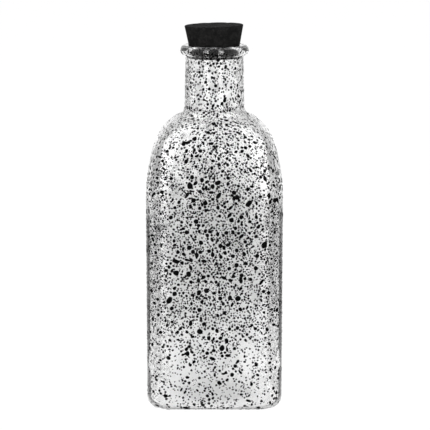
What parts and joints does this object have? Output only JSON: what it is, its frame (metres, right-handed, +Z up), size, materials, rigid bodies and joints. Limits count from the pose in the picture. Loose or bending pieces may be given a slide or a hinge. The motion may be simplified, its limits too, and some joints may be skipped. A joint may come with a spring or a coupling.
{
  "type": "glass bottle",
  "caption": "Square clear-glass bottle with a domed shoulder, round neck, rolled lip and black spatter finish, closed by a tapered black stopper that pulls straight out of the mouth.",
  "frame": {"origin": "middle of the plane that the bottle stands on", "axes": "+Z up along the neck, +X to the right and -Y to the front as pictured, along the body's flats"},
  "size_m": [0.075, 0.075, 0.2107],
  "materials": {
    "glass": "clear, faintly grey, polished, slightly wavy",
    "stopper": "black dyed cork, matte, fine grain",
    "spatter": "black enamel spatter fired on the outside of the glass, satin"
  },
  "bodies": {
    "bottle": {"glass_bottle": "glass"},
    "stopper": {"stopper": "stopper"}
  },
  "joints": [
    {"name": "stopper_pull", "type": "slide", "parent": "bottle", "child": "stopper", "axis": [0, 0, 1], "range_m": [0, 0.03]}
  ]
}
